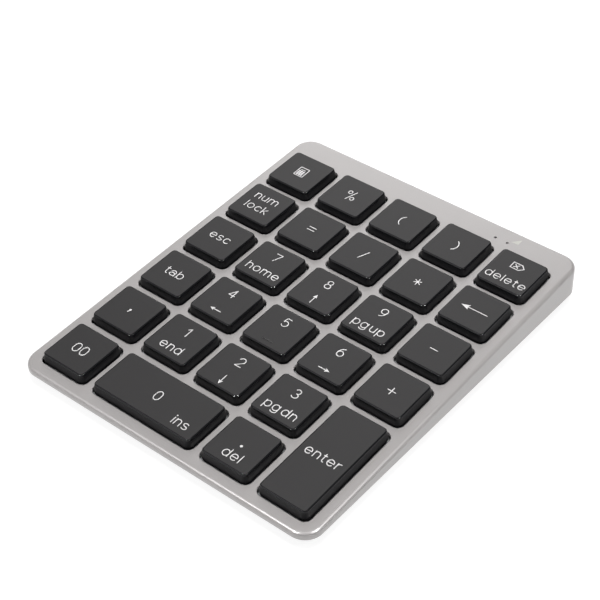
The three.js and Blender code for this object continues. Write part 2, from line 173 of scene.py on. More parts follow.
# The feet. The first four are shares of a foot's radius.
FOOT_CENTRE = 0.2
FOOT_DISH_RADIUS = 0.55
FOOT_RIM_RADIUS = 0.65
FOOT_TOP_RADIUS = 0.9
FOOT_DISH = 0.15
FOOT_DISH_ROUND = 0.3
FOOT_ROUND = 0.45
FOOT_TOP_ROUND = 0.1

# The screws. The thread's start, flat and flank are shares of its pitch.
SCREW_HEAD = 0.7
SCREW_EDGE = 0.15
SHANK_RADIUS = 0.6
THREAD_PITCH = 0.42
THREAD_ROOT = 0.45
THREAD_START = 0.3
THREAD_FLAT = 0.25
THREAD_FLANK = 0.5
CROSS_REACH = 0.85
CROSS_HALF = 0.17
CROSS_DEPTH = 0.45
CROSS_TAPER = 0.6

# The silicone sheet and its domes.
SOFT_FOOT = -2.25
SHEET_RADIUS = 3.5
SHEET_HOLE = 2.15
DOME_BASE = 3.1
DOME_TOP = 1.9
DOME_SKIN = 0.35
DOME_SLOPE = 0.5
DOME_PLUNGER = 0.8

# A dome's section as (radius, height, corner radius). The crown and the hollow are measured from
# the dome's top, and the skirt from its foot.
DOME_CROWN = (
    (0.5, -0.15, 0),
    (1.1, -0.15, 0.1),
    (1.3, 0, 0.15),
    (DOME_TOP, 0, 0.3),
    (DOME_TOP + 0.1, -1.0, 0.4),
)
DOME_SKIRT = (
    (DOME_BASE - DOME_SLOPE, 0.5, 0.4),
    (DOME_BASE, 0.25, 0.1),
    (DOME_BASE, 0, 0),
    (DOME_BASE - DOME_SKIN, 0, 0),
    (DOME_BASE - DOME_SLOPE - DOME_SKIN, 0.4, 0.3),
)
DOME_HOLLOW = (
    (DOME_TOP - DOME_SKIN, -1.1, 0.3),
    (DOME_PLUNGER, -1.1, 0.1),
    (DOME_PLUNGER, -2.2, 0.15),
    (0.2, -2.2, 0),
)

# The scissor links. A key this many times longer than wide has them turned.
UPRIGHT_KEY = 1.5
LINK_LENGTH = 8.8
LINK_WIDTHS = (12.6, 9.6)
LINK_BAR = 1.2
LINK_FOOT = -1.9
LINK_TOP = 1.3
LINK_THICKNESS = 0.7
LINK_RADIUS = 0.6

# The keycaps. Their corners get sharper from the skirt up to the top.
KEY_RADIUS = 1.9
KEY_TOP_INSET = 0.5
KEY_SHARPEN = 1.35
KEY_SHARPEN_TO = 0.9
KEY_DRAFT_HEIGHT = 2.3
KEY_EDGE = 0.45
KEY_EDGE_STEPS = 6
KEY_SKIRT_EDGE = 0.12
KEY_WALL = 1.3
KEY_ROOF = 0.9

# The homing ridge: (width, length), place and section.
HOMING_RIDGE = (3.9, 0.55)
HOMING_Y = -5.1
HOMING_RISE = 0.22
HOMING_EDGE = 0.18
HOMING_CREST = 0.22

# The printing: width of the pen, height of the ink, its step from stroke to stroke, and its root.
PEN = 0.27
INK = 0.02
INK_STEP = 0.002
INK_ROOT = 0.05

# The corners of the printed triangle, from the middle of the second status lamp.
MARK = ((0.7, 0.9), (3.0, 1.0), (3.0, 3.4))

# The floor.
FLOOR_SIZE = 4000
FLOOR_CORNER = 100
FLOOR_DEPTH = 10

# ---------- drawing in the plane

# Flat sides of a small, a middling and a large circle.
SMALL_SIDES = 24
SIDES = 32
LARGE_SIDES = 48

# Steps round the corners of the cover and of a link.
COVER_STEPS = 16
LINK_STEPS = 4

# Points of an outline closer than this are one point.
CLOSEST = 0.03

# A corner moves by the distance over a cosine, which counts as no less than this.
SHARPEST = 0.5


def circle(radius, sides=SIDES, centre=(0, 0)):
    """Points round a circle, anticlockwise."""
    step = 2 * math.pi / sides
    return [
        Vector((centre[0] + radius * math.cos(i * step), centre[1] + radius * math.sin(i * step)))
        for i in range(sides)
    ]


def rounded_rect(across, along, radius, inset=0.0, steps=8, centre=(0, 0)):
    """Points round a rectangle with round corners, anticlockwise, drawn in by an inset on every side."""
    points = []
    for quarter, (side_x, side_y) in enumerate(((1, 1), (-1, 1), (-1, -1), (1, -1))):
        middle = Vector((
            centre[0] + side_x * (across / 2 - radius),
            centre[1] + side_y * (along / 2 - radius),
        ))
        for i in range(steps + 1):
            angle = (quarter + i / steps) * math.pi / 2
            points.append(middle + (radius - inset) * Vector((math.cos(angle), math.sin(angle))))
    return points


def rounded(path, steps=6):
    """A bent line of (x, y, corner radius) points as plain points, with its corners rounded off."""
    points = [Vector(path[0][:2])]
    for before, (x, y, radius), after in zip(path, path[1:], path[2:]):
        corner = Vector((x, y))
        if radius == 0:
            points.append(corner)
            continue
        into = (corner - Vector(before[:2])).normalized()
        out = (Vector(after[:2]) - corner).normalized()
        turn = -into.angle_signed(out)
        start = corner - into * radius * math.tan(abs(turn) / 2)
        spoke = Vector((into.y, -into.x)) * math.copysign(radius, turn)
        points += [start - spoke + Matrix.Rotation(turn * i / steps, 2) @ spoke for i in range(steps + 1)]
    points.append(Vector(path[-1][:2]))
    return points


def beside(points, distance, closed):
    """The points moved to the right of the way they run."""
    count = len(points)
    moved = []
    for i, point in enumerate(points):
        ways = []
        if closed or i > 0:
            ways.append((point - points[i - 1]).normalized())
        if closed or i < count - 1:
            ways.append((points[(i + 1) % count] - point).normalized())
        way = sum(ways, Vector((0, 0))).normalized()
        reach = distance / max(way.dot(ways[0]), SHARPEST)
        moved.append(point + reach * Vector((way.y, -way.x)))
    return moved


# ---------- solids

# The triangulation's mode that keeps only the triangles inside the outlines.
INSIDE_TRIANGLES = 1

# Points closer than this are merged, and edges over this many degrees stay crisp.
SAME_POINT = 1e-5
SHARP_ANGLE = 32


class Solid:
    """A closed mesh made of rings of points, joined into walls and filled into faces."""

    def __init__(self):
        self.bm = bmesh.new()

    def ring(self, points, height):
        """Vertices at the points. The height is a number, or a function of a point."""
        lift = height if callable(height) else lambda point: height
        return [self.bm.verts.new((point.x, point.y, lift(point))) for point in points]

    def wall(self, rings, material=0):
        """Bands of faces from each ring to the next."""
        for lower, upper in zip(rings, rings[1:]):
            for i in range(len(lower)):
                face = self.bm.faces.new((lower[i - 1], lower[i], upper[i], upper[i - 1]))
                face.material_index = material

    def fill(self, outer, holes=(), material=0):
        """Closes a ring with even triangles, and leaves its holes open."""
        loops = [outer, *holes]
        vertices = [vertex for loop in loops for vertex in loop]
        place = {vertex: i for i, vertex in enumerate(vertices)}
        outlines = [[place[vertex] for vertex in loop] for loop in loops]
        spots = [vertex.co.xy for vertex in vertices]
        filled = delaunay_2d_cdt(spots, [], outlines, INSIDE_TRIANGLES, SAME_POINT)
        _, _, triangles, sources, _, owners = filled
        for corners, inside in zip(triangles, owners):
            if inside == [0]:
                face = self.bm.faces.new([vertices[sources[i][0]] for i in corners])
                face.material_index = material

    def stack(self, shape, profile, material=0):
        """A wall through (size, height) points, where shape(size) gives each ring's points."""
        rings = [self.ring(shape(size), height) for size, height in profile]
        self.wall(rings, material)
        return rings[0], rings[-1]

    def post(self, shape, profile, material=0):
        """A stack closed at both ends."""
        for end in self.stack(shape, profile, material):
            self.fill(end, material=material)

    def plate(self, loops, bottom, top, material=0):
        """A flat plate: the first loop is its outline, and the others are holes."""
        lower = [self.ring(loop, bottom) for loop in loops]
        upper = [self.ring(loop, top) for loop in loops]
        for pair in zip(lower, upper):
            self.wall(pair, material)
        self.fill(lower[0], lower[1:], material)
        self.fill(upper[0], upper[1:], material)

    def piece(self, name, materials, place=DECK):
        """The solid as an object, smooth but for its sharp edges."""
        bmesh.ops.remove_doubles(self.bm, verts=self.bm.verts, dist=SAME_POINT)
        bmesh.ops.recalc_face_normals(self.bm, faces=self.bm.faces)
        self.bm.transform(place)
        mesh = bpy.data.meshes.new(name)
        self.bm.to_mesh(mesh)
        self.bm.free()
        for material in materials:
            mesh.materials.append(material)
        made = bpy.data.objects.new(name, mesh)
        bpy.context.scene.collection.objects.link(made)
        shade(made)
        return made


def shade(made):
    """Smooth shading that keeps flat faces flat and edges over the sharp angle crisp."""
    made.data.shade_smooth()
    made.data.set_sharp_from_angle(angle=math.radians(SHARP_ANGLE))
    if "even" not in made.modifiers:
        made.modifiers.new("even", "WEIGHTED_NORMAL").keep_sharp = True


def cut(made, cutter):
    """Takes the cutter's shape out of a piece, and the cutter out of the scene."""
    made.modifiers.clear()
    cutter.modifiers.clear()
    modifier = made.modifiers.new("cut", "BOOLEAN")
    modifier.operation = "DIFFERENCE"
    modifier.solver = "EXACT"
    modifier.object = cutter
    evaluated = made.evaluated_get(bpy.context.evaluated_depsgraph_get())
    trimmed = bmesh.new()
    trimmed.from_mesh(evaluated.to_mesh())
    bmesh.ops.remove_doubles(trimmed, verts=trimmed.verts, dist=SAME_POINT * MM)
    bmesh.ops.dissolve_degenerate(trimmed, edges=trimmed.edges, dist=SAME_POINT * MM)
    trimmed.to_mesh(made.data)
    trimmed.free()
    evaluated.to_mesh_clear()
    made.modifiers.clear()
    bpy.data.objects.remove(cutter)
    shade(made)


def settle(made, body, slot, *nodes):
    """Ties a finished piece to its CAD body and hides the CAD nodes that it stands for. The slot is not
    used.
    """
    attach(made, body)
    if nodes:
        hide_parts(*nodes)


# ---------- materials

# The slow changes in a surface's colour, and the grain in its roughness and bump.
CLOUD_SCALE = 60
CLOUD_DETAIL = 3
GRAIN_DETAIL = 2
SECOND_TONE = 0.9
SHEEN_SPREAD = 0.15
COAT_ROUGHNESS = 0.24


def set_inputs(node, values):
    """Gives a node's inputs their constant values."""
    for name, value in values.items():
        node.inputs[name].default_value = value


def surface(
    name, colour, roughness,
    metallic=0.0, second=None, grain=9000, bump=0.1, depth=0.00002, gloss=0.5, coat=0.0,
):
    """A surface with grain in its bump and roughness, and slow changes in its colour."""
    made = bpy.data.materials.new(name)
    made.use_nodes = True
    nodes, links = made.node_tree.nodes, made.node_tree.links
    shader = nodes["Principled BSDF"]
    set_inputs(shader, {"Metallic": metallic, "Specular IOR Level": gloss})
    set_inputs(shader, {"Coat Weight": coat, "Coat Roughness": COAT_ROUGHNESS})
    place = nodes.new("ShaderNodeTexCoord").outputs["Object"]

    def noise(scale, detail):
        texture = nodes.new("ShaderNodeTexNoise")
        set_inputs(texture, {"Scale": scale, "Detail": detail})
        links.new(place, texture.inputs["Vector"])
        return texture.outputs["Fac"]

    clouds, fine = noise(CLOUD_SCALE, CLOUD_DETAIL), noise(grain, GRAIN_DETAIL)
    mix = nodes.new("ShaderNodeMix")
    mix.data_type = "RGBA"
    second = second or [SECOND_TONE * part for part in colour]
    set_inputs(mix, {"A": (*colour, 1), "B": (*second, 1)})
    links.new(clouds, mix.inputs["Factor"])
    links.new(mix.outputs["Result"], shader.inputs["Base Color"])
    sheen = nodes.new("ShaderNodeMapRange")
    spread = roughness * SHEEN_SPREAD
    set_inputs(sheen, {"To Min": roughness - spread, "To Max": roughness + spread})
    links.new(fine, sheen.inputs["Value"])
    links.new(sheen.outputs["Result"], shader.inputs["Roughness"])
    relief = nodes.new("ShaderNodeBump")
    set_inputs(relief, {"Strength": bump, "Distance": depth})
    links.new(fine, relief.inputs["Height"])
    links.new(relief.outputs["Normal"], shader.inputs["Normal"])
    return made


silver = surface("silver_paint", (0.42, 0.401, 0.397), 0.36, metallic=0.15, grain=7000, bump=0.12, coat=0.4)
key_top = surface("key_top_satin", (0.0172, 0.0158, 0.0165), 0.48, grain=6000, bump=0.15)
# Keycap sides and rims: the tops' black plastic coloured about a third as bright, which is painted shade on
# the sides.
key_side_shaded = surface("key_side_satin_painted_shade", (0.006, 0.006, 0.0075), 0.32, grain=3000, bump=0.05, gloss=0.22)
key_rim_shaded = surface("key_rim_polish_painted_shade", (0.006, 0.006, 0.0075), 0.12, grain=3000, bump=0.02, gloss=0.38)
ink = surface("legend_ink", (0.78, 0.77, 0.77), 0.5, grain=4000)
mark_ink = surface("mark_ink", (0.53, 0.53, 0.49), 0.4, grain=4000)
tray_black = surface("tray_black", (0.022, 0.022, 0.024), 0.6, grain=2500, bump=0.35, depth=0.00004)
plate_black = surface("plate_black", (0.012, 0.012, 0.014), 0.45, metallic=0.3, grain=3000)
rubber = surface("dome_rubber", (0.35, 0.36, 0.37), 0.75, grain=3500)
foot_rubber = surface("foot_rubber", (0.012, 0.012, 0.012), 0.85, grain=1800, bump=0.4, depth=0.00005)
steel = surface("spring_steel", (0.55, 0.56, 0.58), 0.28, metallic=1.0, grain=5000)
screw_steel = surface("screw_steel", (0.09, 0.09, 0.10), 0.32, metallic=1.0, grain=5000)
socket_steel = surface("socket_steel", (0.60, 0.60, 0.61), 0.25, metallic=1.0, grain=4000)
plastic_black = surface("plastic_black", (0.010, 0.010, 0.011), 0.4, grain=3500)
gold = surface("contact_gold", (0.80, 0.55, 0.22), 0.3, metallic=1.0, grain=5000)
foil = surface("battery_foil", (0.50, 0.51, 0.53), 0.35, metallic=0.9, grain=900, bump=0.5, depth=0.0001)
red_lead = surface("lead_red", (0.45, 0.02, 0.015), 0.5, grain=3000)
black_lead = surface("lead_black", (0.012, 0.012, 0.012), 0.5, grain=3000)
lamp_clear = surface("lamp_clear", (0.60, 0.63, 0.65), 0.15, grain=3000)
# The light pipes are coloured near black, so the pinholes over them look dark.
lamp_near_black = surface("lamp_near_black", (0.004, 0.004, 0.005), 0.5, grain=3000, gloss=0.1)
floor_white = surface("floor_white", (0.2, 0.2, 0.2), 0.9, second=(0.19, 0.19, 0.19), grain=800, bump=0.02)
floor_shader = floor_white.node_tree.nodes["Principled BSDF"]
set_inputs(floor_shader, {"Emission Color": (1, 1, 1, 1), "Emission Strength": 0.88})


def printed(name, base, lines, pitch, share):
    """A printed film or board: a base colour under fine lines round cells a pitch apart, in millimetres."""
    made = surface(name, base, 0.35, grain=2000)
    nodes, links = made.node_tree.nodes, made.node_tree.links
    cells = nodes.new("ShaderNodeTexVoronoi")
    cells.feature = "DISTANCE_TO_EDGE"
    cells.inputs["Scale"].default_value = 1 / (pitch * MM)
    links.new(nodes.new("ShaderNodeTexCoord").outputs["Object"], cells.inputs["Vector"])
    edge = nodes.new("ShaderNodeMath")
    edge.operation = "LESS_THAN"
    edge.inputs[1].default_value = share
    links.new(cells.outputs["Distance"], edge.inputs[0])
    mix = nodes.new("ShaderNodeMix")
    mix.data_type = "RGBA"
    colour = nodes["Principled BSDF"].inputs["Base Color"]
    links.new(edge.outputs["Value"], mix.inputs["Factor"])
    links.new(colour.links[0].from_socket, mix.inputs["A"])
    mix.inputs["B"].default_value = (*lines, 1)
    links.new(mix.outputs["Result"], colour)
    return made


film = printed("membrane_film", (0.10, 0.13, 0.12), (0.35, 0.36, 0.37), 6, 0.05)
board_green = printed("board_green", (0.010, 0.070, 0.030), (0.03, 0.16, 0.06), 2.5, 0.08)


def finish(material, *nodes):
    """Gives CAD nodes that stay as they are their finish."""
    for node in nodes:
        for place in frame["nodes"][node].material_slots:
            place.material = material


finish(plate_black, "support_plate")
finish(film, "membrane_circuit", "membrane_tail")
finish(steel, "stabiliser_wire_0", "stabiliser_wire_enter")
finish(board_green, "circuit_board")
finish(plastic_black, "controller_chip", "tail_connector", "switch_body")
finish(lamp_clear, "status_led_1", "status_led_2")
# Near black, so the pinholes over the light pipes look dark.
finish(lamp_near_black, *LIGHT_PIPES)
finish(foil, "battery")
finish(red_lead, "battery_lead_red")
finish(black_lead, "battery_lead_black")

# ---------- the top cover


def at_level(level):
    """The deck height that lies at a level above the table, as a function of a point on the deck."""
    level_zero = TABLE_TO_DECK.translation.dot(TABLE_UP)
    return lambda point: (level + level_zero - point.y * TABLE_UP.y) / TABLE_UP.z


def on_upright(spot, height):
    """Where an upright line over a spot on the table passes a height on the deck."""
    foot = TABLE_TO_DECK @ Vector((*spot, 0))
    return (foot + TABLE_UP * (height - foot.z) / TABLE_UP.z).xy


def screw_spot(name):
    """(spot on the table, level of the seat under the head, level of the tip) of a screw."""
    low, high = box_in(TABLE, name)
    return middle_in(TABLE, name), low.z + SCREW_HEAD, high.z


def add_boss(solid, name):
    """An upright screw boss with its pilot hole, under the ceiling. Returns its ring on the ceiling."""
    spot, _, tip = screw_spot(name)
    pilot_top = (TABLE_TO_DECK @ Vector((*spot, tip + SCREW_TIP_GAP))).z
    profile = [
        (BOSS_RADIUS + ROOT, -BEZEL),
        (BOSS_RADIUS, -BEZEL - ROOT),
        (BOSS_RADIUS, BOSS_END + HOLE_EDGE),
        (BOSS_RADIUS - HOLE_EDGE, BOSS_END),
        (PILOT_RADIUS + HOLE_EDGE, BOSS_END),
        (PILOT_RADIUS, BOSS_END + HOLE_EDGE),
        (PILOT_RADIUS, pilot_top),
    ]
    rings = [
        solid.ring(circle(radius, SMALL_SIDES, on_upright(spot, height)), height)
        for radius, height in profile
    ]
    solid.wall(rings)
    solid.fill(rings[-1])
    return rings[0]


def port_outline(inset):
    """The long rounded outline of the socket's shell, from behind."""
    return rounded_rect(*PORT, PORT_RADIUS, inset)


def facing_back(spot):
    """A place whose own Z points out of the back wall, with its origin at a spot above the table."""
    turn = Matrix(((-1, 0, 0), (0, 0, 1), (0, 1, 0))).to_4x4()
    return TABLE @ Matrix.Translation(spot) @ turn


def cut_back_opening(cover, node, x, shape):
    """Cuts an opening through the back wall round a node, flared at the outer face."""
    low, high = box_in(TABLE, node)
    face = Vector((x, high.y + PORT_GAP, (low.z + high.z) / 2))
    solid = Solid()
    solid.post(shape, [
        (-HOLE_EDGE, CUTTER_OUT),
        (-HOLE_EDGE, CUTTER_FLARE),
        (0, -HOLE_EDGE),
        (0, -WALL - CUTTER_IN),
    ])
    cut(cover, solid.piece("cutter", [silver], facing_back(face)))


def add_cover_walls(solid):
    """The cover's rounded edge, side walls and rim. Returns its rings on the top and on the ceiling."""
    low, high = box_in(DECK, "top_cover")
    across, along = high.x - low.x, high.y - low.y
    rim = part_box("top_cover")[0].z / MM
    bend = [(2 * EDGE_RADIUS, 0, 0), (0, 0, EDGE_RADIUS), (0, -2 * EDGE_RADIUS, 0)]
    return solid.stack(lambda inset: rounded_rect(across, along, CORNER_RADIUS, inset, COVER_STEPS), [
        *rounded(bend, steps=8)[1:-1],
        (0, at_level(rim + RIM_EDGE)),
        (RIM_EDGE, at_level(rim)),
        (WALL - RIM_EDGE, at_level(rim)),
        (WALL, at_level(rim + RIM_EDGE)),
        (WALL, -BEZEL),
    ])


def add_window(solid, key):
    """The opening round a key. Returns its rings on the top and on the ceiling."""
    low, high = box_in(DECK, key)
    size = high - low
    across, along = size.x + 2 * WINDOW_GAP, size.y + 2 * WINDOW_GAP
    middle = middle_in(DECK, key)
    mouth = rounded([(-2 * WINDOW_EDGE, 0, 0), (0, 0, WINDOW_EDGE), (0, -BEZEL, 0)], steps=3)[1:]
    return solid.stack(lambda inset: rounded_rect(across, along, WINDOW_RADIUS, inset, centre=middle), mouth)


def add_pinhole(solid, name):
    """The opening over a light pipe. Returns its rings on the top and on the ceiling."""
    middle = middle_in(DECK, name)
    return solid.stack(lambda radius: circle(radius, SMALL_SIDES, middle), [
        (PINHOLE_RADIUS + PINHOLE_EDGE, 0),
        (PINHOLE_RADIUS, -PINHOLE_EDGE),
        (PINHOLE_RADIUS, -BEZEL),
    ])


def make_top_cover():
    """The silver cover with its windows, pinholes and bosses, and the two openings in its back wall."""
    solid = Solid()
    top, ceiling = add_cover_walls(solid)
    openings = [add_window(solid, key) for key in KEYS]
    openings += [add_pinhole(solid, name) for name in LIGHT_PIPES]
    bosses = [add_boss(solid, name) for name in SCREWS]
    solid.fill(top, [upper for upper, lower in openings])
    solid.fill(ceiling, [lower for upper, lower in openings] + bosses)
    cover = solid.piece("top_shell", [silver])
    cut_back_opening(cover, "usb_socket_shell", 0, lambda inset: port_outline(inset - PORT_GAP))
    cut_back_opening(
        cover, "switch_slider", SWITCH_X, lambda inset: rounded_rect(*SWITCH_SLOT, SLOT_RADIUS, inset)
    )
    settle(cover, "housing", "silver_shell", "top_cover")


make_top_cover()

# ---------- the bottom tray, its feet and screws


def add_tower(solid, name, underside, floor):
    """A screw tower with its hole and counterbore. Returns its rings on the underside and on the floor."""
    spot, seat, _ = screw_spot(name)
    top = seat + TOWER_SKIN
    return solid.stack(lambda radius: circle(radius, SIDES, spot), [
        (COUNTERBORE_RADIUS + HOLE_EDGE, underside),
        (COUNTERBORE_RADIUS, underside + HOLE_EDGE),
        (COUNTERBORE_RADIUS, seat),
        (PILOT_RADIUS, seat),
        (PILOT_RADIUS, top - HOLE_EDGE),
        (PILOT_RADIUS + HOLE_EDGE, top),
        (TOWER_RADIUS - HOLE_EDGE, top),
        (TOWER_RADIUS, top - HOLE_EDGE),
        (TOWER_RADIUS, floor + ROOT),
        (TOWER_RADIUS + ROOT, floor),
    ])


def add_foot_pocket(solid, name, underside):
    """The shallow pocket that a foot is glued into. Returns its ring on the underside."""
    low, high = box_in(TABLE, name)
    spot = middle_in(TABLE, name)
    radius = (high.x - low.x) / 2 + POCKET_GAP
    mouth, end = solid.stack(lambda size: circle(size, LARGE_SIDES, spot), [
        (radius + HOLE_EDGE, underside),
        (radius, underside + HOLE_EDGE),
        (radius, high.z + PAD_GAP),
    ])
    solid.fill(end)
    return mouth


def add_board_post(solid, side, floor):
    """A post under the circuit board, with a pin through it. Returns its ring on the floor."""
    spot = (BOARD_CENTRE + side * BOARD_POST_X, BOARD_POST_Y)
    shoulder = BOARD_BOTTOM - PAD_GAP
    root, end = solid.stack(lambda radius: circle(radius, SMALL_SIDES, spot), [
        (BOARD_POST_RADIUS + ROOT, floor),
        (BOARD_POST_RADIUS, floor + ROOT),
        (BOARD_POST_RADIUS, shoulder),
        (BOARD_PIN_RADIUS, shoulder),
        (BOARD_PIN_RADIUS, BOARD_PIN_TOP - HOLE_EDGE),
        (BOARD_PIN_RADIUS - HOLE_EDGE, BOARD_PIN_TOP),
    ])
    solid.fill(end)
    return root


def add_label_recess(solid, underside):
    """The blank recess where a label would go. Returns its ring on the underside."""
    mouth, end = solid.stack(
        lambda inset: rounded_rect(*PANEL, PANEL_RADIUS, inset, centre=PANEL_SPOT),
        [(0, underside), (PANEL_DEPTH, underside + PANEL_DEPTH)],
    )
    solid.fill(end)
    return mouth


def make_tray():
    """The black tray that closes the cover from below, with a lip all round."""
    low, high = box_in(TABLE, "bottom_cover")
    across, along = high.x - low.x, high.y - low.y
    bottom, inside = low.z, low.z + TRAY_FLOOR
    solid = Solid()
    underside, floor = solid.stack(lambda inset: rounded_rect(across, along, TRAY_RADIUS, inset), [
        (TRAY_BEVEL, bottom),
        (0, bottom + TRAY_BEVEL),
        (0, LIP_TOP - LIP_EDGE),
        (LIP_EDGE, LIP_TOP),
        (LIP - LIP_EDGE, LIP_TOP),
        (LIP, LIP_TOP - LIP_EDGE),
        (LIP, inside + ROOT),
        (LIP + ROOT, inside),
    ])
    towers = [add_tower(solid, name, bottom, inside) for name in SCREWS]
    pockets = [add_foot_pocket(solid, name, bottom) for name in FEET]
    posts = [add_board_post(solid, side, inside) for side in (-1, 1)]
    recess = add_label_recess(solid, bottom)
    solid.fill(underside, [*[mouth for mouth, root in towers], *pockets, recess])
    solid.fill(floor, [*[root for mouth, root in towers], *posts])
    settle(solid.piece("tray", [tray_black], TABLE), "housing", "tray_black", "bottom_cover")


def make_foot(name):
    """A rubber foot with a rounded rim and a shallow dish inside it."""
    low, high = box_in(TABLE, name)
    middle = middle_in(TABLE, name)
    radius = (high.x - low.x) / 2
    profile = rounded([
        (FOOT_CENTRE * radius, low.z + FOOT_DISH, 0),
        (FOOT_DISH_RADIUS * radius, low.z + FOOT_DISH, FOOT_DISH_ROUND),
        (FOOT_RIM_RADIUS * radius, low.z, FOOT_DISH_ROUND),
        (radius, low.z, FOOT_ROUND),
        (radius, high.z, FOOT_TOP_ROUND),
        (FOOT_TOP_RADIUS * radius, high.z, 0),
    ], steps=5)
    solid = Solid()
    solid.post(lambda size: circle(size, LARGE_SIDES, middle), profile)
    settle(solid.piece(f"{name}_pad", [foot_rubber], TABLE), "housing", "foot_rubber", name)


def thread(seat, tip):
    """The section of a screw's thread from its seat to its tip, as (radius, height) points."""
    turns = int((tip - seat - SHANK_RADIUS) / THREAD_PITCH)
    points = []
    for turn in range(turns):
        foot = seat + (turn + THREAD_START) * THREAD_PITCH
        points += [
            (THREAD_ROOT, foot),
            (THREAD_ROOT, foot + THREAD_FLAT * THREAD_PITCH),
            (SHANK_RADIUS, foot + THREAD_FLANK * THREAD_PITCH),
        ]
    return points


def cross_outline():
    """The outline of a cross recess about its middle."""
    corner = [(CROSS_REACH, -CROSS_HALF), (CROSS_REACH, CROSS_HALF), (CROSS_HALF, CROSS_HALF)]
    quarters = [Matrix.Rotation(i * math.pi / 2, 2) for i in range(4)]
    return [quarter @ Vector(point) for quarter in quarters for point in corner]


def make_screw(name):
    """A screw seen from below: a round head with a cross recess, and a threaded shank."""
    low, high = box_in(TABLE, name)
    spot, seat, tip = screw_spot(name)
    head = (high.x - low.x) / 2
    solid = Solid()
    face, end = solid.stack(lambda radius: circle(radius, SMALL_SIDES, spot), [
        (head - SCREW_EDGE, low.z),
        (head, low.z + SCREW_EDGE),
        (head, seat),
        (SHANK_RADIUS, seat),
        *thread(seat, tip),
        (THREAD_ROOT, tip - SHANK_RADIUS / 2),
        (SCREW_EDGE, tip),
    ])
    solid.fill(end)
    mouth, depth = solid.stack(
        lambda size: [spot + size * point for point in cross_outline()],
        [(1, low.z), (CROSS_TAPER, low.z + CROSS_DEPTH)],
    )
    solid.fill(depth)
    solid.fill(face, [mouth])
    settle(solid.piece(f"{name}_crosshead", [screw_steel], TABLE), "housing", "screw_steel", name)


make_tray()
for foot in FEET:
    make_foot(foot)
for screw in SCREWS:
    make_screw(screw)

# ---------- the charging socket and the power switch


def port_mouth():
    """(place at the socket's mouth that faces backwards, length of the socket)."""
    low, high = box_in(TABLE, "usb_socket_shell")
    return facing_back(((low.x + high.x) / 2, high.y, (low.z + high.z) / 2)), high.y - low.y


def make_port_shell():
    """The steel shell of the socket: a flat tube with round ends."""
    place, length = port_mouth()
    solid = Solid()
    solid.post(port_outline, [
        (PORT_SHELL, PORT_SHELL - length),
        (PORT_SHELL, -PORT_EDGE),
        (PORT_SHELL - PORT_EDGE, 0),
        (PORT_EDGE, 0),
        (0, -PORT_EDGE),
        (0, PORT_EDGE - length),
        (PORT_EDGE, -length),
    ])
    settle(solid.piece("port_shell", [socket_steel], place), "housing", "socket_steel", "usb_socket_shell")


def make_port_tongue():
    """The black tongue with a row of gilt contacts on each face, on its base at the back of the socket."""
    place, length = port_mouth()
    base = PORT_SHELL + PAD_GAP - length
    tip = base + PORT_BASE + TONGUE[2]
    solid = Solid()
    solid.post(port_outline, [(PORT_SHELL + PAD_GAP, base), (PORT_SHELL + PAD_GAP, base + PORT_BASE)])
    width, thickness, _ = TONGUE
    solid.post(lambda inset: rounded_rect(width, thickness, thickness / 3, inset, steps=4), [
        (0, base + PORT_BASE / 2),
        (0, tip - PORT_EDGE),
        (PORT_EDGE, tip),
    ])
    for i in range(CONTACTS):
        for side in (-1, 1):
            spot = ((i - (CONTACTS - 1) / 2) * CONTACT_PITCH, side * thickness / 2)
            contact = rounded_rect(
                CONTACT_PITCH / 2, 2 * CONTACT_RISE, CONTACT_RISE / 2, steps=1, centre=spot
            )
            solid.plate([contact], tip - CONTACT_REACH, tip - 2 * PORT_EDGE, material=1)
    made = solid.piece("port_tongue", [plastic_black, gold], place)
    settle(made, "housing", "plastic_black", "usb_socket_tongue")


def make_slider():
    """The switch slider: a wide foot, and a knob whose end has finger ribs."""
    low, high = box_in(TABLE, "switch_slider")
    middle = (low.x + high.x) / 2
    foot, knob = (high.x - low.x) / 2, KNOB / 2
    foot_back = low.y + SLIDER_FOOT
    rib = KNOB / (2 * RIBS - 1)
    groove = high.y - RIB_DEPTH
    end = []
    for i in range(RIBS):
        start, stop = knob - 2 * i * rib, knob - (2 * i + 1) * rib
        end += [(start, groove), (start, high.y), (stop, high.y), (stop, groove)]
    outline = [
        (-foot, low.y), (foot, low.y), (foot, foot_back), (knob, foot_back),
        *end, (-knob, foot_back), (-foot, foot_back),
    ]
    corners = [Vector((middle + x, y)) for x, y in outline]
    solid = Solid()
    solid.post(lambda inset: beside(corners, -inset, True), [
        (SLIDER_EDGE, low.z),
        (0, low.z + SLIDER_EDGE),
        (0, high.z - SLIDER_EDGE),
        (SLIDER_EDGE, high.z),
    ])
    made = solid.piece("slider_ribbed", [plastic_black], TABLE)
    settle(made, "switch_slider", "plastic_black", "switch_slider")


make_port_shell()
make_port_tongue()
make_slider()

# ---------- keycaps


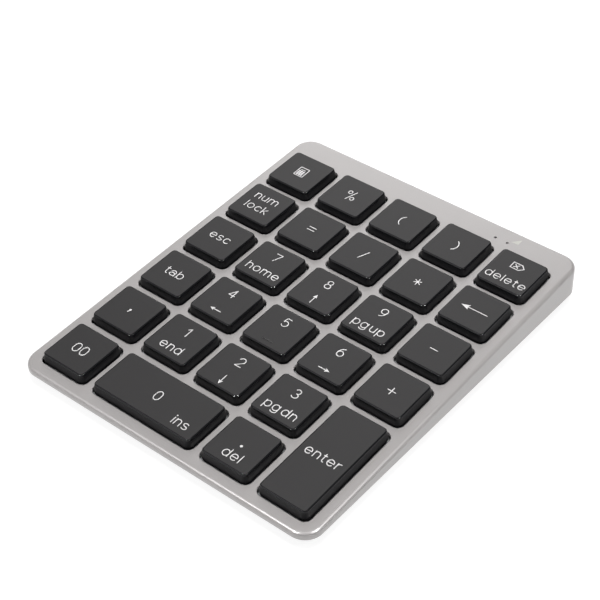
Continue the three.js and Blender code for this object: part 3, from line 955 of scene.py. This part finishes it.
def make_cap(name):
    """A hollow keycap with drafted sides, a polished rim and a matt top. Its sides and rim are coloured
    darker than its top: painted shade.
    """
    low, high = box_in(DECK, name)
    size = high - low
    middle = middle_in(DECK, name)

    def shape(inset):
        radius = KEY_RADIUS - min(inset, KEY_SHARPEN_TO) * KEY_SHARPEN
        return rounded_rect(size.x - 2 * inset, size.y - 2 * inset, radius, centre=middle)

    roof = high.z - KEY_ROOF
    profile = rounded([
        (KEY_WALL, roof, 0),
        (KEY_WALL, low.z, 0),
        (0, low.z, KEY_SKIRT_EDGE),
        (0, high.z - KEY_DRAFT_HEIGHT, KEY_EDGE),
        (KEY_TOP_INSET, high.z, KEY_EDGE),
        (KEY_RADIUS, high.z, 0),
    ], steps=KEY_EDGE_STEPS)[:-1]
    solid = Solid()
    rings = [solid.ring(shape(inset), height) for inset, height in profile]
    solid.wall(rings[:-KEY_EDGE_STEPS], material=1)
    solid.wall(rings[-KEY_EDGE_STEPS - 1:], material=2)
    solid.fill(rings[0], material=1)
    solid.fill(rings[-1])
    cap = solid.piece(f"cap_{name[4:]}", [key_top, key_side_shaded, key_rim_shaded])
    settle(cap, name, "key_black", name)


def make_homing_ridge(name):
    """The small ridge that a fingertip finds on the middle key."""
    top = box_in(DECK, name)[1].z
    crest = top + HOMING_RISE
    across, along = HOMING_RIDGE
    x, y = middle_in(DECK, name)
    spot = (x, y + HOMING_Y)
    profile = rounded([(0, top - INK_ROOT, 0), (0, crest, HOMING_EDGE), (HOMING_CREST, crest, 0)])
    solid = Solid()
    solid.post(lambda inset: rounded_rect(across, along, along / 2, inset, centre=spot, steps=5), profile)
    settle(solid.piece("homing_ridge", [key_top]), name, "key_black")


for key in KEYS:
    make_cap(key)
make_homing_ridge("key_5")

# ---------- domes and scissor links


def make_dome_sheet():
    """The thin silicone sheet, open under each dome and round each screw boss."""
    low, high = box_in(DECK, "dome_sheet")
    centre = middle_in(DECK, "dome_sheet")
    outline = rounded_rect(high.x - low.x, high.y - low.y, SHEET_RADIUS, centre=centre)
    holes = [circle(DOME_BASE - DOME_SKIN, SIDES, middle_in(DECK, name)) for name in KEYS]
    holes += [circle(SHEET_HOLE, SMALL_SIDES, on_upright(screw_spot(name)[0], low.z)) for name in SCREWS]
    solid = Solid()
    solid.plate([outline, *holes], low.z, SOFT_FOOT)
    settle(solid.piece("silicone_sheet", [rubber]), "housing", "dome_rubber", "dome_sheet")


def press_flat(made):
    """Gives the piece a mesh of its own, not shared with any other object."""
    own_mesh(made)


def make_dome(name, top):
    """A hollow silicone dome with a plunger inside it, standing on the sheet."""
    parts = ((DOME_CROWN, top), (DOME_SKIRT, SOFT_FOOT), (DOME_HOLLOW, top))
    section = [(radius, level + up, corner) for part, level in parts for radius, up, corner in part]
    middle = middle_in(DECK, name)
    solid = Solid()
    solid.post(lambda radius: circle(radius, SMALL_SIDES, middle), rounded(section, steps=3))
    made = solid.piece(f"dome_{name[4:]}", [rubber])
    settle(made, "housing", "dome_rubber")
    press_flat(made)


def link_loops(width):
    """The outline of a link's frame, and of the opening inside it."""
    outline = rounded_rect(width, LINK_LENGTH, LINK_RADIUS, steps=LINK_STEPS)
    inner = (width - 2 * LINK_BAR, LINK_LENGTH - 2 * LINK_BAR)
    return outline, rounded_rect(*inner, LINK_RADIUS / 2, steps=LINK_STEPS)


def make_links(name):
    """Two crossed frames that keep a key level: one rises towards one end, and the other falls."""
    low, high = box_in(DECK, name)
    middle = middle_in(DECK, name)
    upright = high.y - low.y > UPRIGHT_KEY * (high.x - low.x)
    turn = Matrix.Rotation(math.pi / 2 if upright else 0, 2)
    along = turn @ Vector((0, 1))
    climb = (LINK_TOP - LINK_THICKNESS - LINK_FOOT) / LINK_LENGTH

    def slope(lift, way):
        halfway = LINK_FOOT + lift + climb * LINK_LENGTH / 2
        return lambda point: halfway + way * climb * (point - middle).dot(along)

    for label, width, way in (("outer", LINK_WIDTHS[0], 1), ("inner", LINK_WIDTHS[1], -1)):
        loops = [[middle + turn @ point for point in loop] for loop in link_loops(width)]
        solid = Solid()
        solid.plate(loops, slope(0, way), slope(LINK_THICKNESS, way))
        made = solid.piece(f"link_{label}_{name[4:]}", [plastic_black])
        settle(made, "housing", "plastic_black")
        press_flat(made)


make_dome_sheet()
dome_top = box_in(DECK, "dome_sheet")[1].z
for key in KEYS:
    make_dome(key, dome_top)
    make_links(key)

# ---------- legends

# Pen strokes along the middle of each line, in millimetres up from the line that letters stand on.
X_HEIGHT = 2.07
BOWL = X_HEIGHT / 2
ASCENT = 2.77
DESCENT = -0.8
DIGIT = 3.17
LETTER_GAP = 0.86
WORD_GAP = 0.35

# Degrees for each short step of an arc, and steps round the end of a line.
ARC_STEP = 12
CAP_STEPS = 6

# A path holds (x, y) points and (x, y, across, up, start, end) arcs: a middle, two radii and
# two angles in degrees. A stroke is (kind, path).


def line(*path):
    """A stroke of the pen with round ends."""
    return "line", path


def hoop(*path):
    """A stroke that runs round and closes."""
    return "hoop", path


def blot(*path):
    """A filled shape."""
    return "blot", path


def oval(x, y, across, up):
    """A path once round an oval."""
    return x, y, across, up, 0, 360


BOWL_LOOP = hoop(oval(0.93, BOWL, 0.93, BOWL))


def stem(x, top, bottom=0.0):
    """An upright line."""
    return line((x, bottom), (x, top))


def arch(left, radius):
    """The shoulder of an n, and its right leg."""
    return line((left + radius, X_HEIGHT - radius, radius, radius, 180, 0), (left + 2 * radius, 0))


# Each glyph: how wide it is, and its strokes.
GLYPHS = {
    " ": (WORD_GAP - LETTER_GAP, []),
    "a": (1.72, [line((1.72, 0), (0.9, 1.3, 0.82, 0.77, 0, 155)), hoop(oval(0.84, 0.6, 0.84, 0.6))]),
    "b": (1.86, [stem(0, ASCENT), BOWL_LOOP]),
    "c": (1.70, [line((0.95, BOWL, 0.95, BOWL, 42, 318))]),
    "d": (1.86, [stem(1.86, ASCENT), BOWL_LOOP]),
    "e": (1.86, [line((0, BOWL), (1.86, BOWL)), line((0.93, BOWL, 0.93, BOWL, 0, 318))]),
    "g": (1.86, [BOWL_LOOP, line((1.86, X_HEIGHT), (0.93, -0.1, 0.93, 0.7, 0, -150))]),
    "h": (1.60, [stem(0, ASCENT), arch(0, 0.8)]),
    "i": (0.00, [stem(0, X_HEIGHT), blot(oval(0, ASCENT, 0.24, 0.24))]),
    "k": (1.45, [stem(0, ASCENT), line((1.35, X_HEIGHT), (0, 0.72)), line((0.5, 1.2), (1.45, 0))]),
    "l": (0.00, [stem(0, ASCENT)]),
    "m": (3.00, [stem(0, X_HEIGHT), arch(0, 0.75), arch(1.5, 0.75)]),
    "n": (1.60, [stem(0, X_HEIGHT), arch(0, 0.8)]),
    "o": (1.96, [hoop(oval(0.98, BOWL, 0.98, BOWL))]),
    "p": (1.86, [stem(0, X_HEIGHT, DESCENT), BOWL_LOOP]),
    "r": (0.90, [stem(0, X_HEIGHT), line((0.9, X_HEIGHT - 0.9, 0.9, 0.9, 180, 85))]),
    "s": (1.52, [line((0.76, 1.55, 0.72, 0.52, 35, 270), (0.76, 0.52, 0.76, 0.52, 90, -145))]),
    "t": (0.92, [
        line((0.35, ASCENT - 0.1), (0.85, 0.5, 0.5, 0.5, 180, 270), (0.95, 0)),
        line((0, X_HEIGHT), (0.92, X_HEIGHT)),
    ]),
    "u": (1.60, [line((0, X_HEIGHT), (0.8, 0.8, 0.8, 0.8, 180, 360)), stem(1.6, X_HEIGHT)]),
    "0": (1.88, [hoop((0.94, DIGIT - 1.15, 0.94, 1.15, 0, 180), (0.94, 1.15, 0.94, 1.15, 180, 360))]),
    "1": (0.85, [stem(0.85, DIGIT), line((0.85, DIGIT), (0.05, DIGIT - 0.7))]),
    "2": (1.95, [line((0.98, DIGIT - 0.93, 0.93, 0.93, 165, -38), (0, 0)), line((0, 0), (1.95, 0))]),
    "3": (1.90, [
        line((0.93, DIGIT - 0.79, 0.83, 0.79, 150, -90)),
        line((0.93, 0.8, 0.95, 0.8, 90, -150)),
    ]),
    "4": (2.05, [stem(1.5, DIGIT), line((1.5, DIGIT), (0, 0.85)), line((0, 0.85), (2.05, 0.85))]),
    "5": (1.90, [
        line((1.7, DIGIT), (0.35, DIGIT)),
        line((0.35, DIGIT), (0.17, 1.7)),
        line((0.92, 1.03, 0.98, 1.03, 140, -145)),
    ]),
    "6": (1.90, [hoop(oval(0.95, 0.98, 0.95, 0.98)), line((1.75, 0.98, 1.75, 2.19, 180, 99))]),
    "7": (1.95, [line((0, DIGIT), (1.95, DIGIT)), line((1.95, DIGIT), (0.65, 0))]),
    "8": (1.90, [hoop(oval(0.95, DIGIT - 0.75, 0.79, 0.75)), hoop(oval(0.95, 0.84, 0.95, 0.84))]),
    "9": (1.90, [
        hoop(oval(0.95, DIGIT - 0.98, 0.95, 0.98)),
        line((0.15, DIGIT - 0.98, 1.75, 2.19, 0, -81)),
    ]),
}

# Signs are drawn about their own middle.
SIGNS = {
    "comma": [blot((0.05, 0.25, 0.36, 0.36, -50, 205), (-0.12, -0.1), (-0.4, -0.8), (-0.15, -0.8))],
    "point": [blot(oval(0, 0, 0.38, 0.38))],
    "plus": [line((-1.2, 0), (1.2, 0)), line((0, -1.25), (0, 1.25))],
    "minus": [line((-1.15, 0), (1.15, 0))],
    "equals": [line((-1.2, y), (1.2, y)) for y in (0.62, -0.62)],
    "slash": [line((-0.8, -1.85), (0.8, 1.85))],
    "star": [line((x, y), (-x, -y)) for x, y in ((0, 1.15), (1.0, 0.57), (-1.0, 0.57))],
    "percent": [
        line((-0.62, -2.2), (0.78, 2.1)),
        hoop(oval(-1.05, 1.15, 0.6, 0.68)),
        hoop(oval(1.05, -1.15, 0.6, 0.68)),
    ],
    "open": [line((1.98, 0, 2.46, 2.46, 127, 233))],
    "close": [line((-1.98, 0, 2.46, 2.46, -53, 53))],
    "left": [line((1.75, 0), (-0.9, 0)), blot((-1.95, 0), (-0.5, -0.68), (-0.8, 0), (-0.5, 0.68))],
    "backspace": [
        line((4.1, 0), (-2.4, 0)),
        blot((-4.35, 0), (-1.75, -0.95), (-2.2, 0), (-1.75, 0.95)),
    ],
    "erase": [
        hoop((-1.95, -1.2), (0.85, -1.2), (2.0, 0), (0.85, 1.2), (-1.95, 1.2)),
        line((-1.1, 0.62), (0.2, -0.62)),
        line((-1.1, -0.62), (0.2, 0.62)),
    ],
    "calculator": [
        hoop(
            (1.35, 1.75, 0.25, 0.25, 0, 90), (-1.35, 1.75, 0.25, 0.25, 90, 180),
            (-1.35, -1.75, 0.25, 0.25, 180, 270), (1.35, -1.75, 0.25, 0.25, 270, 360),
        ),
        line((-0.85, 1.0), (0.65, 1.0)),
        *[blot(oval(x, y, 0.36, 0.36)) for x in (-0.85, -0.1, 0.65) for y in (0.2, -0.55, -1.3)],
    ],
}

# Turned signs: a quarter turn anticlockwise for each step.
TURNED_SIGNS = {"down": ("left", 1), "right": ("left", 2), "up": ("left", 3)}

# The usual heights of digits, words and arrows over the middle of a key.
DIGIT_LINE = 1.4
WORD_LINE = -5.05
ARROW_LINE = -4.4

# What each key says: words as (text, x, foot of the letters), and signs as (name, x, middle).
WORDS = {
    "00": [("00", 0, -1.8)],
    "0": [("0", 0, -1.8), ("ins", 11.2, -5.1)],
    "decimal": [("del", 0.2, -5.3)],
    "enter": [("enter", -0.1, -1.7)],
    "1": [("1", -0.1, DIGIT_LINE), ("end", 0, WORD_LINE)],
    "2": [("2", 0, DIGIT_LINE)],
    "3": [("3", 0, DIGIT_LINE), ("pg dn", 0.2, WORD_LINE)],
    "tab": [("tab", -0.2, -1.55)],
    "4": [("4", -0.2, DIGIT_LINE + 0.15)],
    "5": [("5", 0, DIGIT_LINE)],
    "6": [("6", 0, DIGIT_LINE)],
    "escape": [("esc", 0, -1.05)],
    "7": [("7", 0.1, DIGIT_LINE), ("home", 0.3, WORD_LINE + 0.15)],
    "8": [("8", 0, DIGIT_LINE)],
    "9": [("9", 0, DIGIT_LINE), ("pg up", 0, WORD_LINE)],
    "num_lock": [("num", -0.15, 1.5), ("lock", -0.25, -3.4)],
    "delete": [("delete", 0.1, WORD_LINE)],
}
KEY_SIGNS = {
    "decimal": [("point", 0.2, -0.44)],
    "comma": [("comma", 0.1, -0.15)],
    "2": [("down", 0, ARROW_LINE - 0.2)],
    "4": [("left", 0, ARROW_LINE - 0.2)],
    "6": [("right", 0, ARROW_LINE - 0.3)],
    "plus": [("plus", 0.1, -0.35)],
    "8": [("up", 0, ARROW_LINE + 0.3)],
    "minus": [("minus", 0.1, -0.3)],
    "equals": [("equals", 0.1, 0)],
    "divide": [("slash", 0.1, -0.2)],
    "multiply": [("star", 0.1, -0.25)],
    "backspace": [("backspace", 0.2, -0.25)],
    "calculator": [("calculator", 0, 0)],
    "percent": [("percent", 0, 0)],
    "bracket_open": [("open", -0.3, -0.3)],
    "bracket_close": [("close", 0.1, -0.3)],
    "delete": [("erase", 0.1, 2.65)],
}


def path_points(path):
    """A stroke's path as points, with its arcs cut into short steps."""
    points = []
    for part in path:
        if len(part) == 2:
            points.append(Vector(part))
            continue
        x, y, across, up, start, end = part
        steps = max(2, round(abs(end - start) / ARC_STEP))
        for i in range(steps + 1):
            angle = math.radians(start + (end - start) * i / steps)
            points.append(Vector((x + across * math.cos(angle), y + up * math.sin(angle))))
    return [point for i, point in enumerate(points) if i == 0 or (point - points[i - 1]).length > CLOSEST]


def cap_end(end, side):
    """A half circle round the end of a line, anticlockwise from one side of it."""
    turns = [Matrix.Rotation(math.pi * i / CAP_STEPS, 2) for i in range(1, CAP_STEPS)]
    return [end + turn @ (side - end) for turn in turns]


def stroke_loops(kind, points, half):
    """The outline of a stroke of a round pen, and its hole if it runs round one."""
    if kind == "blot":
        return [points]
    if kind == "hoop":
        points = [point for i, point in enumerate(points) if (point - points[i - 1]).length > CLOSEST]
        return [beside(points, half, True), beside(points, -half, True)]
    right, left = beside(points, half, False), beside(points, -half, False)[::-1]
    return [[*right, *cap_end(points[-1], right[-1]), *left, *cap_end(points[0], left[-1])]]


def word_strokes(text, x, foot):
    """The strokes of a word whose middle is at x, each as (kind, points)."""
    letters = [GLYPHS[letter] for letter in text]
    at = x - (sum(width for width, strokes in letters) + LETTER_GAP * (len(letters) - 1)) / 2
    found = []
    for width, strokes in letters:
        start = Vector((at, foot))
        found += [(kind, [point + start for point in path_points(path)]) for kind, path in strokes]
        at += width + LETTER_GAP
    return found


def sign_strokes(name, x, y):
    """The strokes of a sign whose middle is at (x, y), each as (kind, points)."""
    shape, turns = TURNED_SIGNS.get(name, (name, 0))
    turn = Matrix.Rotation(turns * math.pi / 2, 2)
    return [
        (kind, [turn @ point + Vector((x, y)) for point in path_points(path)])
        for kind, path in SIGNS[shape]
    ]


def make_legend(key):
    """The printed words and signs of a key, each stroke a hair over the last."""
    name = key[4:]
    top = box_in(DECK, key)[1].z
    middle = middle_in(DECK, key)
    strokes = [stroke for word in WORDS.get(name, []) for stroke in word_strokes(*word)]
    strokes += [stroke for sign in KEY_SIGNS.get(name, []) for stroke in sign_strokes(*sign)]
    solid = Solid()
    for i, (kind, points) in enumerate(strokes):
        loops = stroke_loops(kind, [point + middle for point in points], PEN / 2)
        solid.plate(loops, top - INK_ROOT, top + INK + i * INK_STEP)
    settle(solid.piece(f"legend_{name}", [ink]), key, "legend_white")


for key in KEYS:
    make_legend(key)


def make_mark():
    """The small pale triangle printed beside the second status lamp."""
    middle = middle_in(DECK, "light_pipe_2")
    solid = Solid()
    solid.plate([[middle + Vector(point) for point in MARK]], -INK_ROOT, INK)
    settle(solid.piece("lamp_mark", [mark_ink]), "housing", "legend_white")


make_mark()

# ---------- floor, lights and camera

# How far towards the dim side the room starts to fade, and the nearest thing the camera sees, in metres.
FADE_START = 0.3
CLIP_START = 0.01


def make_floor():
    """The white table top, far wider than the view."""
    solid = Solid()
    solid.plate([rounded_rect(FLOOR_SIZE, FLOOR_SIZE, FLOOR_CORNER)], -FLOOR_DEPTH, 0)
    solid.piece("floor", [floor_white], TABLE)


def make_lamp(name, spot, aim, size, watts, fill=True, shine=True):
    """A square lamp aimed at a point. It can give only its highlight, or only its even light."""
    light = bpy.data.lights.new(name, "AREA")
    light.shape = "SQUARE"
    light.size = size
    light.energy = watts
    lamp = bpy.data.objects.new(name, light)
    lamp.location = spot
    lamp.visible_diffuse = fill
    lamp.visible_glossy = shine
    lamp.rotation_euler = (Vector(aim) - Vector(spot)).to_track_quat("-Z", "Y").to_euler()
    bpy.context.scene.collection.objects.link(lamp)


def make_world(bright, dim, towards):
    """A white room that gets dimmer towards one side."""
    world = bpy.data.worlds.new("studio")
    world.use_nodes = True
    nodes, links = world.node_tree.nodes, world.node_tree.links
    side = nodes.new("ShaderNodeVectorMath")
    side.operation = "DOT_PRODUCT"
    side.inputs[1].default_value = Vector(towards).normalized()
    links.new(nodes.new("ShaderNodeTexCoord").outputs["Generated"], side.inputs[0])
    fade = nodes.new("ShaderNodeMapRange")
    fade.interpolation_type = "SMOOTHSTEP"
    set_inputs(fade, {"From Min": FADE_START, "To Min": bright, "To Max": dim})
    links.new(side.outputs["Value"], fade.inputs["Value"])
    links.new(fade.outputs["Result"], nodes["Background"].inputs["Strength"])
    nodes["Background"].inputs["Color"].default_value = (1, 1, 1, 1)
    bpy.context.scene.world = world


def make_camera(azimuth, elevation, roll, distance, lens, target):
    """Angles and target are on the deck. Azimuth 0 looks along the deck's +Y."""
    across, up = math.radians(azimuth), math.radians(elevation)
    back = Vector((math.sin(across) * math.cos(up), -math.cos(across) * math.cos(up), math.sin(up)))
    right = Vector((0, 0, 1)).cross(back).normalized()
    turn = Matrix((right, back.cross(right), back)).transposed()
    turn = turn @ Matrix.Rotation(math.radians(roll), 3, "Z")
    camera = bpy.data.objects.new("camera", bpy.data.cameras.new("camera"))
    camera.data.lens = lens
    eye = DECK @ (Vector(target) + back * distance)
    camera.matrix_world = Matrix.Translation(eye) @ (deck_turn.to_3x3() @ turn).to_4x4()
    camera.data.clip_start = CLIP_START
    bpy.context.scene.collection.objects.link(camera)
    bpy.context.scene.camera = camera


make_floor()
make_world(0.38, 0.12, (0.7, 0.55, 0.45))
make_lamp("softbox_back", (-0.33, 0.50, 0.38), (0, 0, 0), 0.36, 0.68)
make_lamp("softbox_above", (0.0, 0.02, 0.76), (0, 0, 0), 0.3, 4.8, shine=False)
make_lamp("softbox_front", (-0.242, -0.353, 0.385), (0.02, -0.06, 0), 0.2, 0.2, fill=False)
make_lamp("glint_left", (-0.10, -0.404, 0.477), (0.04, -0.06, 0), 0.05, 5.0, fill=False)
make_lamp("glint_right", (0.404, 0.027, 0.478), (0.04, -0.06, 0), 0.05, 7.0, fill=False)
make_camera(
    azimuth=40.713, elevation=43.158, roll=-2.741,
    distance=421.176, lens=90.354, target=(-3.929, 1.444, 0.79),
)
bpy.context.scene.view_settings.view_transform = "Standard"
